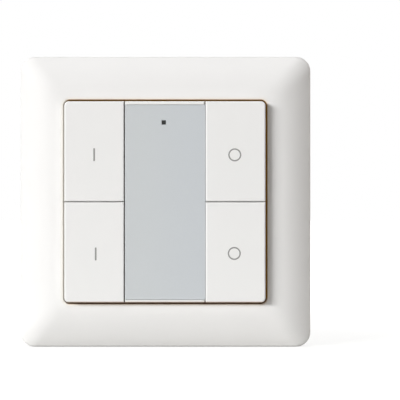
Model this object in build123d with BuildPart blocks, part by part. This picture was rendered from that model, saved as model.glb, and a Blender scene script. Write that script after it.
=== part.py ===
"""Wall pushbutton panel: a crowned square frame round four hinged keys and a grey middle panel.

Depths are measured from the wall towards the room. The wall is the plane Y = 0 and the front
faces -Y. X runs to the right as seen from the front and Z runs up. Units are millimetres.
"""

import os
from math import acos, atan, cos, degrees, sin

from build123d import *

os.makedirs("parts", exist_ok=True)

# Outlines seen from the front
FRAME_SIDE = 80.5
FRAME_CORNER = 4.0
FRAME_WALL = 1.9
INSERT_SIDE = 55.0
INSERT_CORNER = 1.2
RIM_GAP = 0.55  # keys to the frame's opening
RIM_LAND = 0.8  # flat land round the opening, before the crown falls away
RIM_CORNER = 1.9
BAR_WIDTH = 21.75
KEY_GAP = 0.25  # keys to the middle bar
KEY_SPLIT = 0.2  # upper keys to lower keys

# Depths through the panel, from the wall to the key faces
CASE_CLEARANCE = 0.3
COVER_THICKNESS = 1.2
BAYONET_SPACE = 0.8
CELL_THICKNESS = 3.0
CONTACT_SPACE = 1.1
FLANGE_THICKNESS = 1.0
BOARD_THICKNESS = 1.0
CARRIER_THICKNESS = 1.0
SWITCH_HEIGHT = 3.5
PLUNGER_PROUD = 0.8
NIB_HEIGHT = 1.2
KEY_FACE = 1.6
KEY_PROUD = 3.1  # key faces in front of the frame's rim

# Frame
CROWN_DROP = 4.48
CROWN_STEPS = 6
EDGE_ROUND = 1.5
PICK_TOLERANCE = 0.01  # for choosing the edges between the crown and the sides
RIM_ROUND = 0.3
COLLAR_WALL = 1.5
LEDGE_WIDTH = 1.9
LEDGE_THICKNESS = 1.2
FRAME_RIB = 1.0
FRAME_RIB_PLACE = 20.0

# Wall plate
PLATE_EDGE = 1.1
PLATE_STEP = 0.9
PLATE_INSET = 0.6  # the plate's edge stands back from the frame's edge
STEP_CLEARANCE = 0.25
SLOT_MARGIN = 3.2  # plate window to the screw slots, which puts the screws at 60 mm centres
SLOT_WIDTH = 3.5
SLOT_LENGTH = 7.0
SLOT_SEAT = 4.5  # seat for the screw head, wider than its slot by this much
POCKET_RIB = 2.0
POCKET_CORNER = 1.0
ARM_THICKNESS = 1.4
ARM_WIDTH = 6.0
ARM_PLACE = 12.0
ARM_CLEARANCE = 1.45  # arms to the frame's ledge
ARM_GAP = 0.3  # arms to the case
ARM_TOP_GAP = 0.6
BARB_REACH = 0.9
BARB_HEIGHT = 1.3
BARB_PLAY = 0.15

# Rear case, battery and screws
CASE_WALL = 1.4
CASE_CORNER = 2.0
CELL_DIAMETER = 24.5
CELL_CAN_HEIGHT = 2.6
CELL_CAP_DIAMETER = 21.0
CELL_ROUND = 0.3
CELL_PLAY = 0.35
RING_WALL = 0.8
RING_DROP = 0.4
COVER_PLAY = 0.15
COVER_LUGS = 3
COVER_LUG_ROOT = 1.55
COVER_LUG_REACH = 0.55
COVER_LUG_WIDTH = 5.0
COVER_LUG_PLAY = 0.1
COVER_TWIST = 35.0
COIN_SLOT_LENGTH = 15.0
COIN_SLOT_WIDTH = 2.0
COIN_SLOT_DEPTH = 0.6
CONTACT_SHEET = 0.25
CONTACT_WIDTH = 4.0
CONTACT_BEND = 0.5
CONTACT_FOOT = 3.5
CONTACT_TOUCH = 0.05
CONTACT_REACH = 4.5
SCREW_DIAMETER = 2.0
SCREW_PLACE = 6.3
SCREW_POST = 5.6
SCREW_BOSS = 4.4
SCREW_PLAY = 0.15
SCREW_BITE = 3.5
SCREW_BITE_SPACE = 0.5
THREAD_PLAY = 0.01
HEAD_DIAMETER = 3.8
HEAD_HEIGHT = 1.3
HEAD_RECESS = 0.1
DRIVE_LENGTH = 2.2
DRIVE_WIDTH = 0.5
DRIVE_DEPTH = 0.7

# Circuit board and what is soldered to it
CARRIER_RIM = 1.5
BOARD_PLAY = 0.5
BOARD_CORNER = 1.0
RADIO_LENGTH = 18.0
RADIO_WIDTH = 13.0
RADIO_BASE = 0.8
RADIO_CAN_HEIGHT = 1.8
RADIO_MARGIN = 1.0
RADIO_PLACE = -3.0
LED_LENGTH = 2.0
LED_WIDTH = 1.25
LED_HEIGHT = 0.8
SWITCH_SIDE = 6.0
SWITCH_CORNER = 0.5
SWITCH_LID = 0.4
SWITCH_WINDOW_GAP = 0.5
LEAD_REACH = 1.2
LEAD_WIDTH = 0.7
LEAD_THICKNESS = 0.3
LEAD_PITCH = 4.5
PLUNGER_DIAMETER = 3.4
PLUNGER_FOOT = 0.4
PLUNGER_FOOT_HEIGHT = 0.7
PLUNGER_PLAY = 0.05
PRESS_TRAVEL = 0.3

# Keys, their hinges and the middle bar
KEY_WALL = 1.2
KEY_ROUND = 0.4
KEY_RIB = 0.9
KEY_RIB_HEIGHT = 1.0
SKIRT_MARGIN = 0.25
HEEL_LENGTH = 18.0
HEEL_GAP = 0.05
NIB_DIAMETER = 2.4
NIB_GAP = 0.05
HINGE_INSET = 2.75
HINGE_HEIGHT = 1.4
HINGE_SPREAD = 7.0
KNUCKLE_DIAMETER = 2.4
KNUCKLE_WIDTH = 1.6
PIN_DIAMETER = 1.6
PIN_PLAY = 0.05
PIN_END_GAP = 0.2
LUG_THICKNESS = 1.8
LUG_GAP = 0.25
LUG_TOP = 0.6  # the lug is cut off this far above the pin's axis, so the pin snaps in
LUG_WALL_GAP = 0.3
BAR_WALL = 1.2
BAR_FACE = 1.2
BAR_END_UPPER = 0.9
BAR_END_LOWER = 0.7
PANEL_THICKNESS = 1.2
PANEL_STEP = 0.1
PANEL_END_GAP = 0.05
PANEL_CLEARANCE = 0.05  # the grey panel nearly touches the right-hand keys
PANEL_ROUND = 0.2
PIPE_SIDE = 1.1
PIPE_PLAY = 0.05
PIPE_FLANGE = 3.2
PIPE_FLANGE_HEIGHT = 0.8
PIPE_GAP = 0.2
PIPE_DROP = 5.8  # indicator below the insert's upper edge
PIPE_SHIFT = 0.3  # indicator to the left of the middle

# Depths that follow from the stack
plate_front = PLATE_EDGE + PLATE_STEP
case_back = CASE_CLEARANCE
case_floor = case_back + COVER_THICKNESS
cell_back = case_floor + BAYONET_SPACE
cell_front = cell_back + CELL_THICKNESS
board_back = cell_front + CONTACT_SPACE
board_front = board_back + BOARD_THICKNESS
flange_back = board_back - FLANGE_THICKNESS
carrier_front = board_front + CARRIER_THICKNESS
switch_front = board_front + SWITCH_HEIGHT
plunger_front = switch_front + PLUNGER_PROUD
key_under = plunger_front + NIB_HEIGHT
front = key_under + KEY_FACE
panel_front = front - PANEL_STEP
panel_back = panel_front - PANEL_THICKNESS
bar_under = panel_back - BAR_FACE
rim = front - KEY_PROUD
side_top = rim - CROWN_DROP
ledge_back = flange_back - LEDGE_THICKNESS

# Places that follow from the outlines
frame_half = FRAME_SIDE / 2
insert_half = INSERT_SIDE / 2
opening_half = insert_half + RIM_GAP
opening_corner = INSERT_CORNER + RIM_GAP
crest_half = opening_half + RIM_LAND
collar_half = opening_half + COLLAR_WALL
ledge_half = opening_half - LEDGE_WIDTH
step_half = frame_half - FRAME_WALL - STEP_CLEARANCE
arm_inner = ledge_half - ARM_CLEARANCE - ARM_THICKNESS
arm_top = flange_back - ARM_TOP_GAP
case_half = arm_inner - ARM_GAP
case_room = case_half - CASE_WALL
screw_place_z = case_half - (CASE_WALL + SCREW_POST) / 2
screw_places = [(x, z) for x in (-SCREW_PLACE, SCREW_PLACE) for z in (-screw_place_z, screw_place_z)]
board_room = insert_half - CARRIER_RIM
board_half = board_room - BOARD_PLAY
ring_inner = CELL_DIAMETER / 2 + CELL_PLAY
groove_radius = ring_inner + COVER_LUG_REACH + COVER_PLAY
ring_outer = groove_radius + RING_WALL
key_inner = BAR_WIDTH / 2 + KEY_GAP
key_width = insert_half - key_inner
key_height = (INSERT_SIDE - KEY_SPLIT) / 2
key_x = key_inner + key_width / 2
key_z = (KEY_SPLIT + key_height) / 2
key_wall_inside = key_inner + KEY_WALL
hinge_x = key_inner + HINGE_INSET
hinge_depth = carrier_front + HINGE_HEIGHT
lever = key_x - hinge_x
key_tilt = atan(PRESS_TRAVEL / lever)
skirt_back = carrier_front + PRESS_TRAVEL * (insert_half - hinge_x) / lever + SKIRT_MARGIN
lug_start = HINGE_SPREAD + KNUCKLE_WIDTH / 2 + LUG_GAP
indicator_place = (-PIPE_SHIFT, insert_half - PIPE_DROP)
corners = {
    "upper_left": (-1, 1),
    "lower_left": (-1, -1),
    "upper_right": (1, 1),
    "lower_right": (1, -1),
}


def at_depth(depth):
    """Drawing plane parallel to the wall: its x is X, its y is Z, and it faces the room."""
    return Plane.XZ.offset(depth)


def at_height(height):
    """Drawing plane across the panel: its x is X, its y is Y, and it faces up."""
    return Plane.XY.offset(height)


def crowned_block(half, corner, back, crown_half, crown_corner, crown_front):
    """Square block with straight sides and a crown that falls from its front to its sides."""
    span = half - crown_half
    radius = (span**2 + CROWN_DROP**2) / (2 * CROWN_DROP)
    sweep = acos(1 - CROWN_DROP / radius)
    with BuildPart() as block:
        with BuildSketch(at_depth(back)):
            RectangleRounded(2 * half, 2 * half, corner)
        extrude(amount=crown_front - CROWN_DROP - back)
        for step in range(CROWN_STEPS + 1):
            angle = sweep * (1 - step / CROWN_STEPS)
            reach = radius * sin(angle)
            eased_corner = crown_corner + (corner - crown_corner) * reach / span
            with BuildSketch(at_depth(crown_front - radius * (1 - cos(angle)))):
                RectangleRounded(2 * (crown_half + reach), 2 * (crown_half + reach), eased_corner)
        loft()
    return block.part


# Cover frame: a crowned shell with a collar round its opening and a ledge for the control unit
frame_block = crowned_block(frame_half, FRAME_CORNER, PLATE_EDGE, crest_half, RIM_CORNER, rim)
hollow_block = crowned_block(
    frame_half - FRAME_WALL,
    FRAME_CORNER - FRAME_WALL,
    PLATE_EDGE,
    crest_half,
    RIM_CORNER,
    rim - FRAME_WALL,
)

with BuildPart() as frame_hollow:
    add(hollow_block)
    with BuildSketch(at_depth(ledge_back)):
        RectangleRounded(2 * collar_half, 2 * collar_half, opening_corner + COLLAR_WALL)
    extrude(amount=rim - ledge_back, mode=Mode.SUBTRACT)
    with BuildSketch(at_depth(ledge_back)):
        for place in (-FRAME_RIB_PLACE, FRAME_RIB_PLACE):
            with Locations((place, 0)):
                Rectangle(FRAME_RIB, FRAME_SIDE)
            with Locations((0, place)):
                Rectangle(FRAME_SIDE, FRAME_RIB)
    extrude(amount=rim - ledge_back, mode=Mode.SUBTRACT)

with BuildPart() as cover_frame:
    add(frame_block)
    side_edges = cover_frame.edges().filter_by_position(
        Axis.Y, -side_top - PICK_TOLERANCE, -side_top + PICK_TOLERANCE
    )
    fillet(side_edges, EDGE_ROUND)
    add(frame_hollow.part, mode=Mode.SUBTRACT)
    with BuildSketch(at_depth(flange_back)):
        RectangleRounded(2 * opening_half, 2 * opening_half, opening_corner)
    extrude(amount=rim - flange_back, mode=Mode.SUBTRACT)
    with BuildSketch(at_depth(PLATE_EDGE)):
        RectangleRounded(2 * ledge_half, 2 * ledge_half, opening_corner)
    extrude(amount=flange_back - PLATE_EDGE, mode=Mode.SUBTRACT)
    rim_edges = cover_frame.faces().sort_by(Axis.Y)[0].inner_wires()[0].edges()
    fillet(rim_edges, RIM_ROUND)
cover_frame.part.label = "cover_frame"
export_step(cover_frame.part, "parts/cover_frame.step")


# Wall plate: cored from behind, slotted for screws at 60 mm centres, with four snap arms
window_half = arm_inner
rail_middle = (window_half + step_half) / 2
pocket_width = step_half - window_half - 2 * POCKET_RIB
pocket_start = (SLOT_WIDTH + SLOT_SEAT) / 2 + POCKET_RIB
pocket_length = window_half - pocket_start
slot_reach = window_half + SLOT_MARGIN + SLOT_LENGTH / 2
slot_places = [(slot_reach, 0, 0), (-slot_reach, 0, 0), (0, slot_reach, 90), (0, -slot_reach, 90)]

with BuildPart() as wall_plate:
    with BuildSketch(at_depth(0)):
        RectangleRounded(
            FRAME_SIDE - 2 * PLATE_INSET, FRAME_SIDE - 2 * PLATE_INSET, FRAME_CORNER - PLATE_INSET
        )
    extrude(amount=PLATE_EDGE)
    with BuildSketch(at_depth(PLATE_EDGE)):
        RectangleRounded(2 * step_half, 2 * step_half, FRAME_CORNER - FRAME_WALL)
    extrude(amount=PLATE_STEP)
    with BuildSketch(at_depth(0)):
        RectangleRounded(2 * window_half, 2 * window_half, CASE_CORNER + ARM_GAP)
    extrude(amount=plate_front, mode=Mode.SUBTRACT)
    with BuildSketch(at_depth(0)):
        for x, z, turn in slot_places:
            with Locations((x, z)):
                SlotOverall(SLOT_LENGTH, SLOT_WIDTH, rotation=turn)
    extrude(amount=plate_front, mode=Mode.SUBTRACT)
    with BuildSketch(at_depth(PLATE_EDGE)):
        for x, z, turn in slot_places:
            with Locations((x, z)):
                SlotOverall(SLOT_LENGTH + SLOT_SEAT, SLOT_WIDTH + SLOT_SEAT, rotation=turn)
    extrude(amount=PLATE_STEP, mode=Mode.SUBTRACT)
    with BuildSketch(at_depth(0)):
        with GridLocations(2 * rail_middle, 2 * rail_middle, 2, 2):
            RectangleRounded(pocket_width, pocket_width, POCKET_CORNER)
        with GridLocations(2 * rail_middle, 2 * pocket_start + pocket_length, 2, 2):
            RectangleRounded(pocket_width, pocket_length, POCKET_CORNER)
        with GridLocations(2 * pocket_start + pocket_length, 2 * rail_middle, 2, 2):
            RectangleRounded(pocket_length, pocket_width, POCKET_CORNER)
    extrude(amount=PLATE_STEP, mode=Mode.SUBTRACT)
    for height in (-ARM_PLACE, ARM_PLACE):
        with BuildSketch(at_height(height)):
            with BuildLine():
                Polyline(
                    (arm_inner, -PLATE_EDGE),
                    (arm_inner + ARM_THICKNESS, -PLATE_EDGE),
                    (arm_inner + ARM_THICKNESS, -arm_top),
                    (arm_inner, -arm_top),
                    (arm_inner - BARB_REACH, BARB_HEIGHT / 2 - arm_top),
                    (arm_inner - BARB_REACH, BARB_HEIGHT - arm_top),
                    (arm_inner, BARB_HEIGHT - arm_top),
                    close=True,
                )
            make_face()
            mirror(about=Plane.YZ)
        extrude(amount=ARM_WIDTH / 2, both=True)
wall_plate.part.label = "wall_plate"
export_step(wall_plate.part, "parts/wall_plate.step")


# Rear case: a tub with a flange, a battery ring with a bayonet groove, and four screw posts
notch_angle = 90 - COVER_TWIST
pocket_depth = BARB_REACH - ARM_GAP + BARB_PLAY

with BuildPart() as rear_case:
    with BuildSketch(at_depth(case_back)):
        RectangleRounded(2 * case_half, 2 * case_half, CASE_CORNER)
    extrude(amount=board_back - case_back)
    with BuildSketch(at_depth(flange_back)):
        RectangleRounded(INSERT_SIDE, INSERT_SIDE, INSERT_CORNER)
    extrude(amount=FLANGE_THICKNESS)
    with BuildSketch(at_depth(case_floor)):
        Rectangle(2 * case_room, 2 * case_room)
    extrude(amount=board_back - case_floor, mode=Mode.SUBTRACT)
    with BuildSketch(at_depth(case_floor)):
        with Locations(*screw_places):
            Circle(SCREW_POST / 2)
    extrude(amount=board_back - case_floor)
    with BuildSketch(at_depth(case_floor)):
        Circle(ring_outer)
    extrude(amount=cell_front - RING_DROP - case_floor)
    with BuildSketch(at_depth(case_back)):
        Circle(ring_inner)
    extrude(amount=cell_front - case_back, mode=Mode.SUBTRACT)
    with BuildSketch(at_depth(case_floor)):
        Circle(groove_radius)
    extrude(amount=BAYONET_SPACE, mode=Mode.SUBTRACT)
    with BuildSketch(at_depth(case_back)):
        with PolarLocations(groove_radius - COVER_LUG_ROOT / 2, COVER_LUGS, start_angle=notch_angle):
            Rectangle(COVER_LUG_ROOT, COVER_LUG_WIDTH + 2 * COVER_PLAY)
    extrude(amount=COVER_THICKNESS, mode=Mode.SUBTRACT)
    with BuildSketch(at_depth(cell_back + CELL_CAN_HEIGHT / 2)):
        with Locations((ring_inner, 0)):
            Rectangle(2 * (ring_outer - ring_inner), CONTACT_WIDTH + 2 * CELL_PLAY)
    extrude(amount=CELL_THICKNESS, mode=Mode.SUBTRACT)
    with BuildSketch(at_depth(case_back)):
        with Locations(*screw_places):
            Circle(SCREW_DIAMETER / 2 + SCREW_PLAY)
    extrude(amount=board_back - case_back, mode=Mode.SUBTRACT)
    with BuildSketch(at_depth(case_back)):
        with Locations(*screw_places):
            Circle(HEAD_DIAMETER / 2 + SCREW_PLAY)
    extrude(amount=HEAD_HEIGHT + HEAD_RECESS, mode=Mode.SUBTRACT)
    with BuildSketch(at_depth(arm_top - BARB_HEIGHT - BARB_PLAY)):
        with GridLocations(2 * case_half, 2 * ARM_PLACE, 2, 2):
            Rectangle(2 * pocket_depth, ARM_WIDTH + 2 * BARB_PLAY)
    extrude(amount=BARB_HEIGHT + 2 * BARB_PLAY, mode=Mode.SUBTRACT)
rear_case.part.label = "rear_case"
export_step(rear_case.part, "parts/rear_case.step")


# Battery cover: a coin-slotted disc with three bayonet lugs that pass under the case's back wall
cover_radius = ring_inner - COVER_PLAY
lug_tip = ring_inner + COVER_LUG_REACH - COVER_PLAY
lug_height = BAYONET_SPACE - COVER_LUG_PLAY

with BuildPart() as battery_cover:
    with BuildSketch(at_depth(case_back)):
        Circle(cover_radius)
    extrude(amount=COVER_THICKNESS)
    with BuildSketch(at_depth(case_floor)):
        with PolarLocations(cover_radius - COVER_LUG_ROOT / 2 - COVER_PLAY, COVER_LUGS, start_angle=90):
            Rectangle(COVER_LUG_ROOT, COVER_LUG_WIDTH)
    extrude(amount=lug_height)
    with BuildSketch(at_depth(case_floor + COVER_LUG_PLAY)):
        with PolarLocations(lug_tip - COVER_LUG_ROOT / 2, COVER_LUGS, start_angle=90):
            Rectangle(COVER_LUG_ROOT, COVER_LUG_WIDTH)
    extrude(amount=lug_height - COVER_LUG_PLAY)
    with BuildSketch(at_depth(case_back)):
        SlotOverall(COIN_SLOT_LENGTH, COIN_SLOT_WIDTH)
    extrude(amount=COIN_SLOT_DEPTH, mode=Mode.SUBTRACT)
battery_cover.part.label = "battery_cover"
export_step(battery_cover.part, "parts/battery_cover.step")


# Coin cell: a can with its smaller negative cap facing the board
with BuildPart() as coin_cell:
    with BuildSketch(at_depth(cell_back)):
        Circle(CELL_DIAMETER / 2)
    extrude(amount=CELL_CAN_HEIGHT)
    fillet(coin_cell.edges(), CELL_ROUND)
    with BuildSketch(at_depth(cell_back + CELL_CAN_HEIGHT)):
        Circle(CELL_CAP_DIAMETER / 2)
    extrude(amount=CELL_THICKNESS - CELL_CAN_HEIGHT)
coin_cell.part.label = "coin_cell"
export_step(coin_cell.part, "parts/coin_cell.step")


# Battery contacts: bent strips soldered to the back of the board
touch_x = CELL_DIAMETER / 2 + CONTACT_TOUCH
touch_depth = cell_front + CONTACT_TOUCH
contact_paths = {
    "contact_positive": [
        (touch_x + CONTACT_SHEET + CONTACT_FOOT, CONTACT_SHEET - board_back),
        (touch_x + CONTACT_SHEET, CONTACT_SHEET - board_back),
        (touch_x + CONTACT_SHEET, -cell_back - CELL_CAN_HEIGHT / 2 - CONTACT_SHEET),
    ],
    "contact_negative": [
        (-CONTACT_REACH - CONTACT_FOOT, -board_back),
        (-CONTACT_REACH, -board_back),
        (0, -touch_depth - CONTACT_SHEET),
        (CONTACT_FOOT / 2, -touch_depth - 2 * CONTACT_SHEET),
    ],
}

for name, points in contact_paths.items():
    with BuildPart() as contact:
        with BuildSketch(at_height(0)):
            with BuildLine():
                FilletPolyline(*points, radius=CONTACT_BEND)
                offset(amount=CONTACT_SHEET, side=Side.LEFT)
            make_face()
        extrude(amount=CONTACT_WIDTH / 2, both=True)
    contact.part.label = name
    export_step(contact.part, f"parts/{name}.step")


# Circuit board: clamped between the case's flange and the carrier, with four screw holes
with BuildPart() as circuit_board:
    with BuildSketch(at_depth(board_back)):
        RectangleRounded(2 * board_half, 2 * board_half, BOARD_CORNER)
        with Locations(*screw_places):
            Circle(SCREW_DIAMETER / 2 + SCREW_PLAY, mode=Mode.SUBTRACT)
    extrude(amount=BOARD_THICKNESS)
circuit_board.part.label = "circuit_board"
export_step(circuit_board.part, "parts/circuit_board.step")

# Radio module: a small board under a shielding can
with BuildPart() as radio_module:
    with BuildSketch(at_depth(board_front)):
        with Locations((0, RADIO_PLACE)):
            Rectangle(RADIO_WIDTH, RADIO_LENGTH)
    extrude(amount=RADIO_BASE)
    with BuildSketch(at_depth(board_front + RADIO_BASE)):
        with Locations((0, RADIO_PLACE)):
            Rectangle(RADIO_WIDTH - 2 * RADIO_MARGIN, RADIO_LENGTH - 2 * RADIO_MARGIN)
    extrude(amount=RADIO_CAN_HEIGHT)
radio_module.part.label = "radio_module"
export_step(radio_module.part, "parts/radio_module.step")

# Indicator: a surface-mounted light under the light pipe
with BuildPart() as indicator_led:
    with BuildSketch(at_depth(board_front)):
        with Locations(indicator_place):
            Rectangle(LED_LENGTH, LED_WIDTH)
    extrude(amount=LED_HEIGHT)
indicator_led.part.label = "indicator_led"
export_step(indicator_led.part, "parts/indicator_led.step")


# Push switches: a square body with four leads, and a plunger held under its lid
chamber_radius = PLUNGER_DIAMETER / 2 + PLUNGER_FOOT + PLUNGER_PLAY
foot_front = switch_front - SWITCH_LID - PLUNGER_PLAY
foot_back = foot_front - PLUNGER_FOOT_HEIGHT
chamber_back = foot_back - PRESS_TRAVEL - PLUNGER_PLAY

for name, (side, level) in corners.items():
    place = (side * key_x, level * key_z)
    with BuildPart() as switch:
        with BuildSketch(at_depth(board_front)):
            with Locations(place):
                RectangleRounded(SWITCH_SIDE, SWITCH_SIDE, SWITCH_CORNER)
        extrude(amount=SWITCH_HEIGHT)
        with BuildSketch(at_depth(board_front)):
            with Locations(place):
                with GridLocations(SWITCH_SIDE, LEAD_PITCH, 2, 2):
                    Rectangle(2 * LEAD_REACH, LEAD_WIDTH)
        extrude(amount=LEAD_THICKNESS)
        with BuildSketch(at_depth(chamber_back)):
            with Locations(place):
                Circle(chamber_radius)
        extrude(amount=switch_front - SWITCH_LID - chamber_back, mode=Mode.SUBTRACT)
        with BuildSketch(at_depth(chamber_back)):
            with Locations(place):
                Circle(PLUNGER_DIAMETER / 2 + PLUNGER_PLAY)
        extrude(amount=switch_front - chamber_back, mode=Mode.SUBTRACT)
    switch.part.label = f"switch_{name}"
    export_step(switch.part, f"parts/switch_{name}.step")

    with BuildPart() as plunger:
        with BuildSketch(at_depth(foot_back)):
            with Locations(place):
                Circle(PLUNGER_DIAMETER / 2 + PLUNGER_FOOT)
        extrude(amount=PLUNGER_FOOT_HEIGHT)
        with BuildSketch(at_depth(foot_front)):
            with Locations(place):
                Circle(PLUNGER_DIAMETER / 2)
        extrude(amount=plunger_front - foot_front)
    plunger.part.label = f"plunger_{name}"
    export_step(plunger.part, f"parts/plunger_{name}.step")


# Key carrier: a plate over the board with the middle bar, the hinge lugs and the screw bosses
bar_room = BAR_WIDTH / 2 - BAR_WALL
lug_inner = key_wall_inside + LUG_WALL_GAP
panel_bottom = BAR_END_LOWER - insert_half
panel_top = insert_half - BAR_END_UPPER

with BuildPart() as key_carrier:
    with BuildSketch(at_depth(board_front)):
        with BuildLine():
            Polyline(
                (-BAR_WIDTH / 2, -insert_half),
                (BAR_WIDTH / 2, -insert_half),
                (BAR_WIDTH / 2, insert_half),
                (-BAR_WIDTH / 2, insert_half),
                close=True,
            )
        make_face()
    extrude(amount=front - board_front)
    fillet(key_carrier.faces().sort_by(Axis.Y)[0].edges(), KEY_ROUND)
    with BuildSketch(at_depth(board_back)):
        RectangleRounded(INSERT_SIDE, INSERT_SIDE, INSERT_CORNER)
    extrude(amount=carrier_front - board_back)
    with BuildSketch(at_depth(board_back)):
        Rectangle(2 * board_room, 2 * board_room)
    extrude(amount=BOARD_THICKNESS, mode=Mode.SUBTRACT)
    with BuildSketch(at_depth(board_front)):
        Rectangle(2 * bar_room, 2 * board_room)
    extrude(amount=bar_under - board_front, mode=Mode.SUBTRACT)
    with BuildSketch(at_depth(panel_back)):
        with Locations((0, (panel_top + panel_bottom) / 2)):
            Rectangle(BAR_WIDTH, panel_top - panel_bottom)
    extrude(amount=front - panel_back, mode=Mode.SUBTRACT)
    with BuildSketch(at_depth(bar_under)):
        with Locations(indicator_place):
            Rectangle(PIPE_SIDE + 2 * PIPE_PLAY, PIPE_SIDE + 2 * PIPE_PLAY)
    extrude(amount=BAR_FACE, mode=Mode.SUBTRACT)
    with BuildSketch(at_depth(board_front)):
        with GridLocations(2 * key_x, 2 * key_z, 2, 2):
            Rectangle(
                SWITCH_SIDE + 2 * (LEAD_REACH + SWITCH_WINDOW_GAP), SWITCH_SIDE + 2 * SWITCH_WINDOW_GAP
            )
    extrude(amount=CARRIER_THICKNESS, mode=Mode.SUBTRACT)
    with BuildSketch(at_depth(board_front)):
        with Locations(*screw_places):
            Circle(SCREW_BOSS / 2)
            Circle(SCREW_DIAMETER / 2 + THREAD_PLAY, mode=Mode.SUBTRACT)
    extrude(amount=SCREW_BITE + SCREW_BITE_SPACE)
    with BuildSketch(at_depth(board_front + SCREW_BITE + SCREW_BITE_SPACE)):
        with Locations(*screw_places):
            Circle(SCREW_BOSS / 2)
    extrude(amount=bar_under - board_front - SCREW_BITE - SCREW_BITE_SPACE)
    for side, level in corners.values():
        for end in (-1, 1):
            with BuildSketch(at_height(level * key_z + end * lug_start)):
                with Locations((side * hinge_x, -(board_front + hinge_depth + LUG_TOP) / 2)):
                    Rectangle(2 * (hinge_x - lug_inner), hinge_depth + LUG_TOP - board_front)
                with Locations((side * hinge_x, -hinge_depth)):
                    Circle(PIN_DIAMETER / 2 + PIN_PLAY, mode=Mode.SUBTRACT)
            extrude(amount=end * LUG_THICKNESS)
key_carrier.part.label = "key_carrier"
export_step(key_carrier.part, "parts/key_carrier.step")


# Grey middle panel: a flat plate laid on the bar, with a sharp edge close to the right-hand keys
panel_left = -BAR_WIDTH / 2
panel_right = key_inner - PANEL_CLEARANCE
panel_height = panel_top - panel_bottom - 2 * PANEL_END_GAP

with BuildPart() as centre_panel:
    with BuildSketch(at_depth(panel_back)):
        with Locations(((panel_left + panel_right) / 2, (panel_top + panel_bottom) / 2)):
            Rectangle(panel_right - panel_left, panel_height)
    extrude(amount=PANEL_THICKNESS)
    open_edges = centre_panel.faces().sort_by(Axis.Y)[0].edges().sort_by(Axis.X)[:-1]
    fillet(open_edges, PANEL_ROUND)
    with BuildSketch(at_depth(panel_back)):
        with Locations(indicator_place):
            Rectangle(PIPE_SIDE + 2 * PIPE_PLAY, PIPE_SIDE + 2 * PIPE_PLAY)
    extrude(amount=PANEL_THICKNESS, mode=Mode.SUBTRACT)
centre_panel.part.label = "centre_panel"
export_step(centre_panel.part, "parts/centre_panel.step")


# Light pipe: a dark square rod from the indicator to the front of the grey panel
with BuildPart() as light_pipe:
    with BuildSketch(at_depth(board_front + LED_HEIGHT + PIPE_GAP)):
        with Locations(indicator_place):
            Rectangle(PIPE_SIDE, PIPE_SIDE)
    extrude(amount=panel_front - board_front - LED_HEIGHT - PIPE_GAP)
    with BuildSketch(at_depth(bar_under - PIPE_FLANGE_HEIGHT)):
        with Locations(indicator_place):
            Rectangle(PIPE_FLANGE, PIPE_FLANGE)
    extrude(amount=PIPE_FLANGE_HEIGHT)
light_pipe.part.label = "light_pipe"
export_step(light_pipe.part, "parts/light_pipe.step")


# Keys: hollow caps with a heel that stops on the carrier, a nib over the plunger and two hinge pins
pin_length = LUG_GAP + LUG_THICKNESS - PIN_END_GAP
nib_radius = NIB_DIAMETER / 2

for name, (side, level) in corners.items():
    place = (side * key_x, level * key_z)
    with BuildPart() as button:
        with BuildSketch(at_depth(skirt_back)):
            RectangleRounded(INSERT_SIDE, INSERT_SIDE, INSERT_CORNER)
            with Locations(place):
                Rectangle(key_width, key_height, mode=Mode.INTERSECT)
        extrude(amount=front - skirt_back)
        fillet(button.faces().sort_by(Axis.Y)[0].edges(), KEY_ROUND)
        with BuildSketch(at_depth(skirt_back)):
            with Locations(place):
                Rectangle(key_width - 2 * KEY_WALL, key_height - 2 * KEY_WALL)
        extrude(amount=key_under - skirt_back, mode=Mode.SUBTRACT)
        with BuildSketch(at_depth(key_under - KEY_RIB_HEIGHT)):
            with Locations(place):
                Rectangle(key_width - KEY_WALL, KEY_RIB)
                Rectangle(KEY_RIB, key_height - KEY_WALL)
        extrude(amount=KEY_RIB_HEIGHT)
        with BuildSketch(at_depth(carrier_front + HEEL_GAP)):
            with Locations((side * (key_inner + KEY_WALL / 2), level * key_z)):
                Rectangle(KEY_WALL, HEEL_LENGTH)
        extrude(amount=key_under - carrier_front - HEEL_GAP)
        with Locations((side * key_x, -plunger_front - NIB_GAP - nib_radius, level * key_z)):
            Sphere(nib_radius)
        for end in (-1, 1):
            knuckle_middle = level * key_z + end * HINGE_SPREAD
            knuckle_reach = hinge_x + KNUCKLE_DIAMETER / 2 - key_wall_inside
            with BuildSketch(at_height(knuckle_middle)):
                with Locations((side * hinge_x, -hinge_depth)):
                    Circle(KNUCKLE_DIAMETER / 2)
                with Locations(
                    (side * (key_wall_inside + knuckle_reach / 2), -(hinge_depth + key_under) / 2)
                ):
                    Rectangle(knuckle_reach, key_under - hinge_depth)
            extrude(amount=KNUCKLE_WIDTH / 2, both=True)
            with BuildSketch(at_height(knuckle_middle + end * KNUCKLE_WIDTH / 2)):
                with Locations((side * hinge_x, -hinge_depth)):
                    Circle(PIN_DIAMETER / 2)
            extrude(amount=end * pin_length)
    button.part.label = f"button_{name}"
    export_step(button.part, f"parts/button_{name}.step")


# Case screws: four pan heads in the back of the case, biting into the carrier's bosses
head_back = case_back + HEAD_RECESS
head_front = head_back + HEAD_HEIGHT

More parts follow.
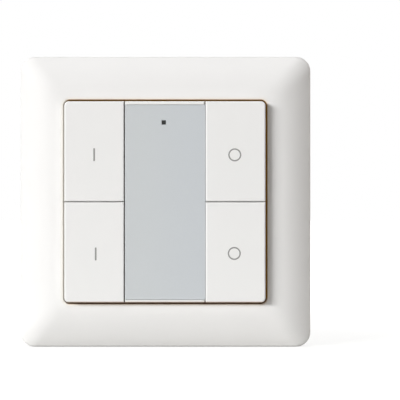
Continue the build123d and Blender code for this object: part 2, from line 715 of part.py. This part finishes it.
with BuildPart() as case_screws:
    with BuildSketch(at_depth(head_back)):
        with Locations(*screw_places):
            Circle(HEAD_DIAMETER / 2)
    extrude(amount=HEAD_HEIGHT)
    with BuildSketch(at_depth(head_front)):
        with Locations(*screw_places):
            Circle(SCREW_DIAMETER / 2)
    extrude(amount=board_front + SCREW_BITE - head_front)
    with BuildSketch(at_depth(head_back)):
        with Locations(*screw_places):
            Rectangle(DRIVE_LENGTH, DRIVE_WIDTH)
            Rectangle(DRIVE_WIDTH, DRIVE_LENGTH)
    extrude(amount=DRIVE_DEPTH, mode=Mode.SUBTRACT)
case_screws.part.label = "case_screws"
export_step(case_screws.part, "parts/case_screws.step")

print(f"hinge axes at x = {hinge_x:.4f}, depth = {hinge_depth:.4f}, key height {key_z:.4f}")
print(f"lever {lever:.4f}, tilt {degrees(key_tilt):.4f} degrees, front at {front:.4f}, rim at {rim:.4f}")
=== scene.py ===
from math import pi

import bmesh
import bpy
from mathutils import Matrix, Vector


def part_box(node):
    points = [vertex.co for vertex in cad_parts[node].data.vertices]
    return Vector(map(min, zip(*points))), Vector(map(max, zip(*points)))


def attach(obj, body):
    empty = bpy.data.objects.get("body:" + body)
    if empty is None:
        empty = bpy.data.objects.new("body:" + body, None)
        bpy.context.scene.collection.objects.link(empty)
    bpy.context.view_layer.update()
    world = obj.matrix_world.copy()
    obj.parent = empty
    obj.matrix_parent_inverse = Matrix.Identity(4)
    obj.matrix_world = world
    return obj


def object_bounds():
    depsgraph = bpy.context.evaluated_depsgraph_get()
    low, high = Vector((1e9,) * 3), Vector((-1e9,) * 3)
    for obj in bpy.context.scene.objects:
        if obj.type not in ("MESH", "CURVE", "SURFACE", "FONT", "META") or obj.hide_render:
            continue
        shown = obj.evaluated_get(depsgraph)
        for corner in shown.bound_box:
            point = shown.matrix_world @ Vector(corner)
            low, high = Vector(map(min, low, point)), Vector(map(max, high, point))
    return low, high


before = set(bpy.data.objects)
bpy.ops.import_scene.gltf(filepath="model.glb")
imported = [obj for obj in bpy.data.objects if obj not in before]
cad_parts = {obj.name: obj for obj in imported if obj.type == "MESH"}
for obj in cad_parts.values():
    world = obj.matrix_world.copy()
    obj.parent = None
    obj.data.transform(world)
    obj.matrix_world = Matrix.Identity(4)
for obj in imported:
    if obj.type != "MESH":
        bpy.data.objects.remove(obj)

cad_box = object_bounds()


# Wall plate: the thin base that two screws hold over the wall box, with snap arms for the control unit.
# It is moulded in white plastic and keeps the fine grain of the spark-eroded tool, because the frame
# hides all of it but a narrow edge.
class Wire:
    """A shader socket in a sum: an expression on wires adds the Math nodes that work it out."""

    def __init__(self, tree, socket=None):
        self.tree = tree
        self.socket = socket

    def node(self, kind, settings=None, sockets=None, output=0):
        """Add any other node: its settings first, then the values or links of its sockets."""
        made = self.tree.nodes.new("ShaderNode" + kind)
        for name, value in (settings or {}).items():
            setattr(made, name, value)
        for name, value in (sockets or {}).items():
            if isinstance(value, Wire):
                self.tree.links.new(value.socket, made.inputs[name])
            else:
                made.inputs[name].default_value = value
        return Wire(self.tree, made.outputs[output] if made.outputs else None)

    def maths(self, operation, first, second=0.0):
        return self.node("Math", {"operation": operation}, {0: first, 1: second})

    def __add__(self, other):
        return self.maths("ADD", self, other)

    def __radd__(self, other):
        return self.maths("ADD", other, self)

    def __sub__(self, other):
        return self.maths("SUBTRACT", self, other)

    def __rsub__(self, other):
        return self.maths("SUBTRACT", other, self)

    def __mul__(self, other):
        return self.maths("MULTIPLY", self, other)

    def __rmul__(self, other):
        return self.maths("MULTIPLY", other, self)

    def __lt__(self, other):
        return self.maths("LESS_THAN", self, other)

    def __gt__(self, other):
        return self.maths("GREATER_THAN", self, other)

    def __abs__(self):
        return self.maths("ABSOLUTE", self)

    def most(self, other):
        """The larger of two wires."""
        return self.maths("MAXIMUM", self, other)

    def rise(self, low, high):
        """A smooth step from 0 to 1, as this wire goes from low to high."""
        ends = {"Value": self, "From Min": low, "From Max": high}
        return self.node("MapRange", {"interpolation_type": "SMOOTHSTEP"}, ends)

    def mix(self, first, second):
        """The first colour where this wire is 0 and the second where it is 1."""
        factor, first_colour, second_colour, blended = 0, 6, 7, 2
        sockets = {factor: self, first_colour: first, second_colour: second}
        return self.node("Mix", {"data_type": "RGBA"}, sockets, blended)

    def along(self, axis):
        """One of the three numbers of a place: X to the right, Y into the wall or Z up."""
        return self.node("SeparateXYZ", sockets={"Vector": self}, output=axis)

    def off_wall(self):
        """How far a place stands in front of the wall."""
        return 0 - self.along("Y")

    def length(self):
        """The length of a vector, which for a place is how far it lies from the middle."""
        return self.node("VectorMath", {"operation": "LENGTH"}, {0: self}, "Value")

    def noise(self, size, detail=2.0):
        """Clouds of about this size, in metres, from 0 to 1."""
        return self.node("TexNoise", sockets={"Vector": self, "Scale": 1 / size, "Detail": detail})

    def dents(self, depth):
        """A normal for a surface whose height is this wire times the depth, in metres."""
        return self.node("Bump", sockets={"Height": self, "Strength": 1.0, "Distance": depth})


def paint(red, green, blue):
    """A colour as it is seen, in steps of 255, as the linear colour that a shader takes."""
    return tuple(((c / 255 + 0.055) / 1.055) ** 2.4 for c in (red, green, blue)) + (1.0,)


def begin_finish(name):
    """A new empty material, with a wire on the piece's own coordinates."""
    finish = bpy.data.materials.new(name)
    finish.use_nodes = True
    finish.node_tree.nodes.clear()
    return finish, Wire(finish.node_tree).node("TexCoord", output="Object")


def end_finish(place, sockets):
    """Close a material with a shader that has these sockets set or linked."""
    shader = place.node("BsdfPrincipled", sockets=sockets)
    place.node("OutputMaterial", sockets={"Surface": shader})


def moulded_plastic(name, tone, shade, grain, depth, gloss, stain=None):
    """Plastic from a tool: a tone that drifts a little, fine grain, and gloss that follows both."""
    finish, place = begin_finish(name)
    drift = place.noise(size=0.018, detail=3.0)
    speck = place.noise(size=grain)
    sockets = {
        "Base Color": drift.mix(tone, shade),
        "Roughness": gloss + 0.1 * (drift - 0.5) + 0.08 * (speck - 0.5),
        "Specular IOR Level": 0.35,
        "Normal": speck.dents(depth),
    }
    if stain:
        sockets |= stain(place, sockets["Base Color"])
    end_finish(place, sockets)
    return finish


def dress(finish, *names):
    """Put a finish on solids of the part."""
    for name in names:
        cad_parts[name].material_slots[0].material = finish


plate_white = moulded_plastic(
    "plate_white", paint(233, 232, 228), paint(226, 225, 221),
    grain=0.00022, depth=0.000012, gloss=0.55,
)
dress(plate_white, "wall_plate")


# Rear case and battery cover: the tub that closes the control unit, and its twist-off lid.
# Both are moulded in the same white plastic, finer in grain than the plate, and the lid's coin slot
# and lugs come straight from the tool.
case_white = moulded_plastic(
    "case_white", paint(235, 234, 231), paint(229, 228, 224),
    grain=0.00016, depth=0.000008, gloss=0.5,
)
dress(case_white, "rear_case", "battery_cover")


# Case screws: four small cross-slotted screws that pull the case, the board and the carrier together.
# They are cold-headed steel with a thin bright zinc coat, cloudy where the bath left it thick, rougher
# in the cross slots, where the driver turned, and painted darker there as shade in the recess.
CROSS_SLOT_OFF_WALL = 0.00045

screw_zinc, place = begin_finish("screw_zinc")
slot = place.off_wall() > CROSS_SLOT_OFF_WALL
bath = place.noise(size=0.0009, detail=4.0)
drawn_out = place.node("Mapping", sockets={"Vector": place, "Scale": (1.0, 1.0, 14.0)})
scratch = drawn_out.noise(size=0.0015, detail=3.0)
coat = bath.mix(paint(184, 188, 194), paint(160, 164, 168))
end_finish(place, {
    # Painted shade: the cross slots are darker.
    "Base Color": slot.mix(coat, paint(104, 106, 108)),
    "Metallic": 1.0,
    "Roughness": 0.26 + 0.16 * bath + 0.08 * scratch + 0.12 * slot,
    "Normal": scratch.dents(depth=0.000004),
})
dress(screw_zinc, "case_screws")


# Coin cell: a lithium cell that drops into the case's ring with its small cap towards the board.
# The can is drawn from nickel-plated steel, and the press leaves rings round its middle.
cell_nickel, place = begin_finish("cell_nickel")
flat = place.node("CombineXYZ", sockets={"X": place.along("X"), "Z": place.along("Z")})
turned = place.node("CombineXYZ", sockets={"X": flat.length(), "Y": place.along("Y")})
ring = turned.noise(size=0.00025, detail=3.0)
touch = place.noise(size=0.004, detail=3.0)
end_finish(place, {
    "Base Color": touch.mix(paint(206, 203, 196), paint(184, 182, 178)),
    "Metallic": 1.0,
    "Roughness": 0.24 + 0.14 * ring + 0.12 * touch,
    "Normal": ring.dents(depth=0.000006),
})
dress(cell_nickel, "coin_cell")


# Battery contacts: two bent strips, one sprung against the cell's rim and one against its cap.
# They are stamped from thin spring brass, with the rolling grain along the strip, and soldered on.
contact_brass, place = begin_finish("contact_brass")
rolled_out = place.node("Mapping", sockets={"Vector": place, "Scale": (0.08, 1.0, 1.0)})
rolled = rolled_out.noise(size=0.00012, detail=3.0)
tarnish = place.noise(size=0.0025, detail=3.0)
end_finish(place, {
    "Base Color": tarnish.mix(paint(205, 171, 104), paint(178, 138, 80)),
    "Metallic": 1.0,
    "Roughness": 0.28 + 0.12 * rolled + 0.1 * tarnish,
    "Normal": rolled.dents(depth=0.000003),
})
dress(contact_brass, "contact_positive", "contact_negative")


# Circuit board: glass-fibre sheet clamped between the case's flange and the carrier.
# Green solder mask covers both faces over copper tracks, and the sawn edge shows the bare fibre.
BOARD_OFF_WALL = 0.0069
BOARD_HALF_THICK = 0.00048
BOARD_HALF_WIDE = 0.0255
SAWN_BAND = 0.00005
TRACK_BEND = 0.004


def straight_tracks(run, scale, above):
    """Tracks side by side along a run: 1 where a band of waves stands above a level, 0 between."""
    bands = {"wave_type": "BANDS", "bands_direction": "X", "wave_profile": "SIN"}
    waves = run.node("TexWave", bands, {"Vector": run, "Scale": scale, "Distortion": 0.0}, "Fac")
    return waves > above


board_green, place = begin_finish("board_green")
x, z = place.along("X"), place.along("Z")
bend = TRACK_BEND * (place.noise(size=0.02, detail=0.0) - 0.5)
upright_run = place.node("CombineXYZ", sockets={"X": x + bend, "Z": z})
level_run = place.node("CombineXYZ", sockets={"X": z - bend, "Z": x})
upright = straight_tracks(upright_run, scale=180.0, above=0.86)
level = straight_tracks(level_run, scale=140.0, above=0.88)
patch = place.noise(size=0.008, detail=0.0) > 0.5
track = patch * upright + (1 - patch) * level
at_rim = abs(abs(x).most(abs(z)) - BOARD_HALF_WIDE) < SAWN_BAND
sawn = (abs(place.off_wall() - BOARD_OFF_WALL) < BOARD_HALF_THICK) * at_rim
mask = track.mix(paint(24, 92, 56), paint(52, 128, 78))
weave = place.noise(size=0.0004, detail=1.0)
end_finish(place, {
    "Base Color": sawn.mix(mask, paint(188, 178, 128)),
    "Roughness": 0.32 + 0.3 * sawn + 0.1 * weave,
    "Normal": (track + 0.15 * weave).dents(depth=0.00003),
})
dress(board_green, "circuit_board")


# Radio module: a small board of its own, soldered on, under a folded shielding can.
# The can is tinned steel with the tin's soft spangle, and the board below it is black.
CAN_OFF_WALL = 0.00821


def flakes(place, per_metre):
    """Small flat patches, each with a grey of its own from 0 to 1."""
    patches = place.node("TexVoronoi", sockets={"Vector": place, "Scale": per_metre}, output="Color")
    return place.node("RGBToBW", sockets={"Color": patches})


radio_tin, place = begin_finish("radio_tin")
can = place.off_wall() > CAN_OFF_WALL
spangle = flakes(place, per_metre=700.0)
ripple = place.noise(size=0.0008, detail=3.0)
tin = spangle.mix(paint(196, 197, 196), paint(178, 180, 181))
end_finish(place, {
    "Base Color": can.mix(paint(22, 26, 24), tin),
    "Metallic": can,
    "Roughness": 0.34 + 0.1 * spangle + 0.08 * ripple,
    "Normal": ripple.dents(depth=0.000008),
})
dress(radio_tin, "radio_module")


# Indicator light: a surface-mounted light under the light pipe.
# Its clear resin has a cup of yellow phosphor in the middle and a white base with tinned ends.
INDICATOR_LEFT = 0.0003
CUP_FADE = (0.0003, 0.00055)
TINNED_FADE = (0.00072, 0.00076)

led_clear, place = begin_finish("led_clear")
aside = abs(place.along("X") + INDICATOR_LEFT)
cup = 1 - aside.rise(*CUP_FADE)
tinned = aside.rise(*TINNED_FADE)
resin = cup.mix(paint(232, 230, 218), paint(224, 204, 110))
haze = place.noise(size=0.0002)
end_finish(place, {
    "Base Color": tinned.mix(resin, paint(200, 201, 200)),
    "Metallic": 0.9 * tinned,
    "Roughness": 0.18 + 0.2 * haze,
    "Normal": haze.dents(depth=0.000004),
})
dress(led_clear, "indicator_led")


# Push switches: one under each key, soldered to the board by four tinned leads.
# A black moulded body is closed by a thin steel lid, and a black plunger stands through the lid.
SWITCH_ASIDE = 0.0193125
SWITCH_HALF_WIDE = 0.00302
LEAD_OFF_WALL = 0.00772
LID_OFF_WALL = 0.01051
corners = ("upper_left", "lower_left", "upper_right", "lower_right")

switch_black, place = begin_finish("switch_black")
off_wall = place.off_wall()
lead = (off_wall < LEAD_OFF_WALL) * (abs(abs(place.along("X")) - SWITCH_ASIDE) > SWITCH_HALF_WIDE)
bare = lead.most(off_wall > LID_OFF_WALL)
drawn = place.noise(size=0.0003, detail=3.0)
steel = drawn.mix(paint(198, 198, 194), paint(176, 176, 174))
end_finish(place, {
    "Base Color": bare.mix(paint(34, 34, 36), steel),
    "Metallic": bare,
    "Roughness": 0.45 - 0.14 * bare + 0.14 * drawn,
    "Normal": drawn.dents(depth=0.000006),
})
plunger_black = moulded_plastic(
    "plunger_black", paint(30, 30, 32), paint(40, 40, 41),
    grain=0.00012, depth=0.000006, gloss=0.48,
)
for corner in corners:
    dress(switch_black, f"switch_{corner}")
    dress(plunger_black, f"plunger_{corner}")


# Key carrier: the moulding over the board, with the middle bar, the hinge lugs and the screw bosses.
# It is the same white plastic as the keys, and only the two ends of its bar show. The gap round the
# keys gets painted brown shade, darker below, and a faint painted glow, grey at the left, towards the
# key light.
CORNER_CENTRE = 0.0263
SIDE_FROM, SIDE_TO = 0.0262, 0.0278
GAP_INNER, GAP_OUTER = 0.02742, 0.02812
GAP_FLOOR_OFF_WALL = 0.0048
GAP_MOUTH_FADE = (0.0114, 0.0109)
KEY_RIM_FADE = (0.0138, 0.0141)
KEY_FOOT_FADE = (-0.02715, -0.02745)
# Painted brown at the edges beside the gap: reflected gap shade on the keys' lower edge, shade at the
# frame's opening.
PAINTED_EDGE_SHARE = 0.6
PAINTED_EDGE_BROWN = paint(178, 138, 80)
UNLIT = (0.0, 0.0, 0.0, 1.0)


def rounded_reach(place):
    """How far out a place lies from the middle, as the rounded squares of keys and opening have it."""
    beside, above = [(abs(place.along(axis)) - CORNER_CENTRE).most(0.0) for axis in "XZ"]
    return CORNER_CENTRE + place.maths("SQRT", beside * beside + above * above)


def painted_shade_side(place):
    """1 above, below and at the right of the keys, where the gap gets painted shade, and 0 at their
    left.
    """
    return place.along("X").rise(-SIDE_TO, -SIDE_FROM)


def painted_gap_shade_and_glow(place, colour):
    """Painted brown shade on the gap's walls, darker below, a painted brown reflection on the keys'
    lower edge, and a faint painted glow.
    """
    off_wall = place.off_wall()
    up = place.along("Z")
    reach = rounded_reach(place)
    between = (reach > GAP_INNER) * (reach < GAP_OUTER)
    deep = between * off_wall.rise(*GAP_MOUTH_FADE) * (off_wall > GAP_FLOOR_OFF_WALL)
    brown = painted_shade_side(place)
    below = up.rise(-SIDE_FROM, -SIDE_TO)
    # Painted shade: the walls are brown, darker below where the keys' shadow falls, and glow faintly,
    # grey at the left.
    walls = below.mix(paint(188, 136, 48), paint(80, 54, 18))
    painted_glow = below.mix(brown.mix(paint(75, 74, 69), paint(47, 36, 0)), paint(36, 16, 0))
    # Painted reflection: the keys' lower edge takes the brown of the gap.
    painted_key_edge = PAINTED_EDGE_SHARE * brown * off_wall.rise(*KEY_RIM_FADE) * up.rise(*KEY_FOOT_FADE)
    return {
        "Base Color": (deep * brown).mix(painted_key_edge.mix(colour, PAINTED_EDGE_BROWN), walls),
        "Emission Color": deep.mix(UNLIT, painted_glow),
        "Emission Strength": 1.0,
    }


carrier_white = moulded_plastic(
    "carrier_white", paint(240, 240, 238), paint(236, 236, 234),
    grain=0.00015, depth=0.000004, gloss=0.42, stain=painted_gap_shade_and_glow,
)
dress(carrier_white, "key_carrier")


# Light pipe: a square rod that brings the indicator's light to the front of the grey panel.
# It is moulded in smoked clear plastic, so it looks almost black while the light is off.
pipe_smoked, place = begin_finish("pipe_smoked")
swirl = place.noise(size=0.0007, detail=3.0)
end_finish(place, {
    "Base Color": swirl.mix(paint(12, 16, 13), paint(18, 22, 19)),
    "Roughness": 0.16 + 0.12 * swirl,
    "Normal": place.noise(size=0.0003).dents(depth=0.000003),
})
dress(pipe_smoked, "light_pipe")


# Grey middle panel: a flat plate laid on the bar and glued there, level with the keys.
# It is moulded plastic with a matt silver-grey coat, whose fine flakes make the tone uneven up close.
PANEL_HALF_WIDE = 0.011

panel_grey, place = begin_finish("panel_grey")
glint = flakes(place, per_metre=9000.0)
sprayed = place.noise(size=0.014, detail=3.0)
# Painted shade: the coat is a little darker towards the right, away from the key light, and a touch
# bluer.
rightwards = place.along("X").rise(-PANEL_HALF_WIDE, PANEL_HALF_WIDE)
coat = rightwards.mix(paint(200, 204, 205), paint(197, 202, 206))
coat = (0.5 * sprayed).mix(coat, paint(195, 199, 203))
coat = (0.16 * glint).mix(coat, paint(222, 225, 229))
end_finish(place, {
    "Base Color": coat,
    "Roughness": 0.5 + 0.12 * (sprayed - 0.5) + 0.1 * (glint - 0.5),
    "Normal": place.noise(size=0.00012).dents(depth=0.000004),
})
dress(panel_grey, "centre_panel")


# Keys: four hollow caps hinged beside the middle bar, each pressing one switch.
# They are moulded in satin white plastic with a soft edge all round.
# The gap's painted brown shade and glow reach the keys' sides, with a painted brown reflection on their
# lower edge.
key_white = moulded_plastic(
    "key_white", paint(240, 239, 238), paint(237, 237, 236),
    grain=0.00014, depth=0.000003, gloss=0.5, stain=painted_gap_shade_and_glow,
)
for corner in corners:
    dress(key_white, f"button_{corner}")


# Signs on the keys: a bar for on at the left and a ring for off at the right.
# They are pad-printed in grey ink, a thin film that stands a hair's breadth on the plastic.
BAR_STROKE = 0.00045
BAR_LENGTH = 0.0035
RING_STROKE = 0.00037
RING_MIDDLE = 0.00159
RING_STEPS = 64
INK_BELOW = 0.00002
INK_ABOVE = 0.000012
INK_THICK = INK_ABOVE + INK_BELOW
SAME_PLACE = 1e-7
SKEW_LINE = Vector((1.0, 3.0, 0.37))
sign_places = {
    "upper_left": (-0.01932, 0.01288),
    "lower_left": (-0.0189, -0.01424),
    "upper_right": (0.0191, 0.01283),
    "lower_right": (0.01897, -0.0141),
}


def printed_bar():
    """An upright stroke of ink with softened corners, round the origin."""
    sign = bmesh.new()
    bmesh.ops.create_cube(sign, size=1.0)
    bmesh.ops.scale(sign, vec=(BAR_STROKE, INK_THICK, BAR_LENGTH), verts=sign.verts)
    corner_edges = [
        edge for edge in sign.edges if abs(edge.verts[0].co.y - edge.verts[1].co.y) > INK_ABOVE
    ]
    bmesh.ops.bevel(
        sign, geom=corner_edges, offset=BAR_STROKE / 6, segments=3, profile=0.5,
        affect="EDGES", material=-1,
    )
    return sign


def printed_ring():
    """A round stroke of ink, spun from its square section round the origin."""
    sign = bmesh.new()
    low, high = -INK_THICK / 2, INK_THICK / 2
    inner, outer = RING_MIDDLE - RING_STROKE / 2, RING_MIDDLE + RING_STROKE / 2
    square = ((inner, low, 0), (outer, low, 0), (outer, high, 0), (inner, high, 0))
    points = [sign.verts.new(at) for at in square]
    section = [sign.edges.new(ends) for ends in zip(points, points[1:] + points[:1])]
    bmesh.ops.spin(
        sign, geom=points + section, cent=(0, 0, 0), axis=(0, 1, 0), angle=2 * pi,
        steps=RING_STEPS, use_merge=True,
    )
    bmesh.ops.remove_doubles(sign, verts=sign.verts, dist=SAME_PLACE)
    bmesh.ops.recalc_face_normals(sign, faces=sign.faces)
    # A spin leaves its points and faces in no fixed order, so they are put in one, along a skew line.
    sign.verts.sort(key=lambda point: point.co.dot(SKEW_LINE))
    sign.faces.sort(key=lambda face: face.calc_center_median().dot(SKEW_LINE))
    return sign


def put_in_scene(name, shape, finish):
    """Make an object of the scene from a shape and its finish."""
    mesh = bpy.data.meshes.new(name)
    shape.to_mesh(mesh)
    shape.free()
    mesh.materials.append(finish)
    made = bpy.data.objects.new(name, mesh)
    bpy.context.scene.collection.objects.link(made)
    return made


ink_grey, place = begin_finish("ink_grey")
pinhole = place.noise(size=0.00018, detail=3.0)
thin = place.noise(size=0.0009)
end_finish(place, {
    "Base Color": thin.mix(paint(136, 135, 134), paint(146, 145, 143)),
    "Roughness": 0.5 + 0.16 * pinhole,
    "Normal": pinhole.dents(depth=0.000003),
})
key_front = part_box("button_upper_left")[0].y
ink_middle = key_front + (INK_BELOW - INK_ABOVE) / 2
for corner, (across, up) in sign_places.items():
    sign = printed_bar() if across < 0 else printed_ring()
    bmesh.ops.translate(sign, vec=(across, ink_middle, up), verts=sign.verts)
    printed = put_in_scene(f"sign_{corner}", sign, ink_grey)
    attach(printed, f"key_{corner}")


# Cover frame: the crowned square shell that snaps over the wall plate and closes round the keys.
# It is moulded in satin white plastic from a polished tool. The land round its opening gets a painted
# warm tint of bounced light, and the opening's edge and the gap below it get painted brown shade and
# glow.
LAND_OFF_WALL = 0.0105
LAND_FADE = (0.0292, 0.0281)
LAND_SHARE = 0.3
OPENING_EDGE_FADE = (0.0284, 0.02806)


def painted_warm_land(place, colour):
    """Paint warm bounced light on the land round the frame's opening, brown shade at its very edge, and
    the gap's shade and glow.
    """
    front = place.off_wall() > LAND_OFF_WALL
    reach = rounded_reach(place)
    brown = painted_shade_side(place)
    # Painted warm bounced light on the land round the opening, browner away from the left.
    painted_warmth = brown.mix(paint(219, 212, 188), paint(222, 204, 178))
    painted_warm = (LAND_SHARE * front * reach.rise(*LAND_FADE)).mix(colour, painted_warmth)
    # Painted brown shade on the opening's very edge, except at the left.
    edge = PAINTED_EDGE_SHARE * front * reach.rise(*OPENING_EDGE_FADE) * brown
    return painted_gap_shade_and_glow(place, edge.mix(painted_warm, PAINTED_EDGE_BROWN))


frame_white = moulded_plastic(
    "frame_white", paint(239, 238, 237), paint(236, 235, 234),
    grain=0.00014, depth=0.000003, gloss=0.6, stain=painted_warm_land,
)
dress(frame_white, "cover_frame")


# Stage: a pale floor under the panel's lower edge, a white surround, four soft lights and the camera.
# The key light stands to the left and a little above, and throws the keys' shadow on the right rail.
FLOOR_HALF_WIDE = 3.0
FLOOR_POOL_FADE = (0.05, 0.16)
FLOOR_WHITE_FADE = (0.05, 0.2)
FLOOR_WHITE_NEAR, FLOOR_WHITE_FAR = 0.55, 0.9
FLOOR_GLOW = 1.4
WHITE = (1.0, 1.0, 1.0, 1.0)
CAMERA_RIGHT, CAMERA_BACK, CAMERA_UP = 0.0096, 0.5063, 0.0005


def background_rays(wire):
    """1 for rays that see the background, straight, in gloss or through clear plastic, else 0."""
    straight, in_gloss, through = [
        wire.node("LightPath", output=f"Is {ray} Ray") for ray in ("Camera", "Glossy", "Transmission")
    ]
    return wire.maths("MINIMUM", straight + in_gloss + through, 1.0)


def softbox(name, towards, distance, width, height, level, tint=(1.0, 1.0, 1.0)):
    """A flat light that gives this level, as a share of white, on a surface that faces it."""
    lamp = bpy.data.lights.new(name, "AREA")
    lamp.shape = "RECTANGLE"
    lamp.size = width
    lamp.size_y = height
    lamp.color = tint
    lamp.energy = level * (pi * distance) ** 2
    light = bpy.data.objects.new(name, lamp)
    light.location = Vector(towards).normalized() * distance
    light.rotation_mode = "QUATERNION"
    light.rotation_quaternion = Vector(towards).to_track_quat("Z", "Y")
    bpy.context.scene.collection.objects.link(light)


floor_pale, place = begin_finish("floor_pale")
distance = place.length()
# Painted pool of light: the floor is paler near the panel, so it throws more light up onto the lower
# rail, with a faint mottle over it.
pool_fade_and_mottle = distance.rise(*FLOOR_POOL_FADE) - 0.05 * place.noise(size=0.3)
lit = place.node("BsdfPrincipled", sockets={
    "Base Color": pool_fade_and_mottle.mix(paint(220, 220, 217), paint(190, 188, 184)),
    "Roughness": 1.0,
    "Specular IOR Level": 0.0,
})
glowing = place.node("Emission", sockets={"Color": WHITE, "Strength": FLOOR_GLOW})
further = (FLOOR_WHITE_FAR - FLOOR_WHITE_NEAR) * distance.rise(*FLOOR_WHITE_FADE)
share = (FLOOR_WHITE_NEAR + further) * background_rays(place)
both = place.node("MixShader", sockets={0: share, 1: lit, 2: glowing})
place.node("OutputMaterial", sockets={"Surface": both})

sheet = bmesh.new()
bmesh.ops.create_grid(sheet, x_segments=1, y_segments=1, size=FLOOR_HALF_WIDE)
bmesh.ops.translate(sheet, vec=(0, 0, cad_box[0].z), verts=sheet.verts)
floor = put_in_scene("floor", sheet, floor_pale)

surround = bpy.data.worlds.new("surround")
surround.use_nodes = True
surround.node_tree.nodes.clear()
sky = Wire(surround.node_tree)
dim = sky.node("Background", sockets={"Color": (1.0, 0.94, 0.86, 1.0), "Strength": 0.01})
bright = sky.node("Background", sockets={"Color": WHITE, "Strength": 1.0})
both = sky.node("MixShader", sockets={0: background_rays(sky), 1: dim, 2: bright})
sky.node("OutputWorld", sockets={"Surface": both})
bpy.context.scene.world = surround

softbox(
    "key_light", towards=(-0.658, -0.718, 0.25), distance=3.0, width=1.5, height=0.6, level=0.958
)
softbox(
    "side_light", towards=(0.978, 0.208, 0.28), distance=0.9, width=0.6, height=0.5, level=0.295,
    tint=(1.0, 0.94, 0.9),
)
softbox(
    "top_light", towards=(0.0, -0.08, 0.997), distance=0.9, width=0.6, height=0.9, level=0.445
)
softbox(
    "back_light", towards=(-0.3, 0.92, 0.25), distance=0.9, width=0.6, height=0.6, level=0.5
)

camera = bpy.data.cameras.new("camera")
camera.sensor_width = 36.0
camera.lens = 162.0
viewer = bpy.data.objects.new("camera", camera)
viewer.location = (CAMERA_RIGHT, -CAMERA_BACK, CAMERA_UP)
viewer.rotation_euler = (pi / 2, 0.0, 0.0)
bpy.context.scene.collection.objects.link(viewer)
bpy.context.scene.camera = viewer
bpy.context.scene.view_settings.view_transform = "Standard"
